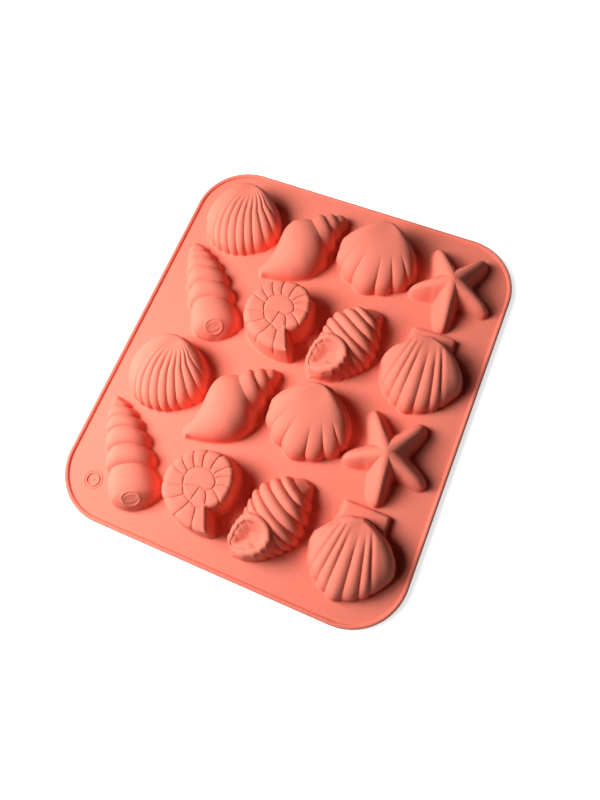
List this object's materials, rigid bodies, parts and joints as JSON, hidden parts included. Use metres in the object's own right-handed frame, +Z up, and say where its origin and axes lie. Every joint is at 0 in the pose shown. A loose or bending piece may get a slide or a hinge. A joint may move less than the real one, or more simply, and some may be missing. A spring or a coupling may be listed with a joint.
{
  "type": "sea-shell mould",
  "caption": "Flexible sheet mould with rows of sea-shell and starfish cavities and a raised border, for casting small shaped pieces.",
  "frame": {"origin": "middle of the open underside, in the plane that it lies on", "axes": "+Z up, from the open underside to the tops of the cups; +Y along the longer side, towards the upper rows; +X along the shorter side"},
  "size_m": [0.184, 0.215, 0.0189],
  "materials": {
    "silicone": "matt, slightly translucent silicone"
  },
  "bodies": {
    "root": {"web": "silicone", "border_bead": "silicone", "cockle_cup_upper": "silicone", "whelk_cup_upper": "silicone", "fan_cup_upper": "silicone", "starfish_cup_upper": "silicone", "auger_cup_upper": "silicone", "nautilus_cup_upper": "silicone", "turban_cup_upper": "silicone", "scallop_cup_upper": "silicone", "cockle_cup_lower": "silicone", "whelk_cup_lower": "silicone", "fan_cup_lower": "silicone", "starfish_cup_lower": "silicone", "auger_cup_lower": "silicone", "nautilus_cup_lower": "silicone", "turban_cup_lower": "silicone", "scallop_cup_lower": "silicone"}
  },
  "joints": []
}
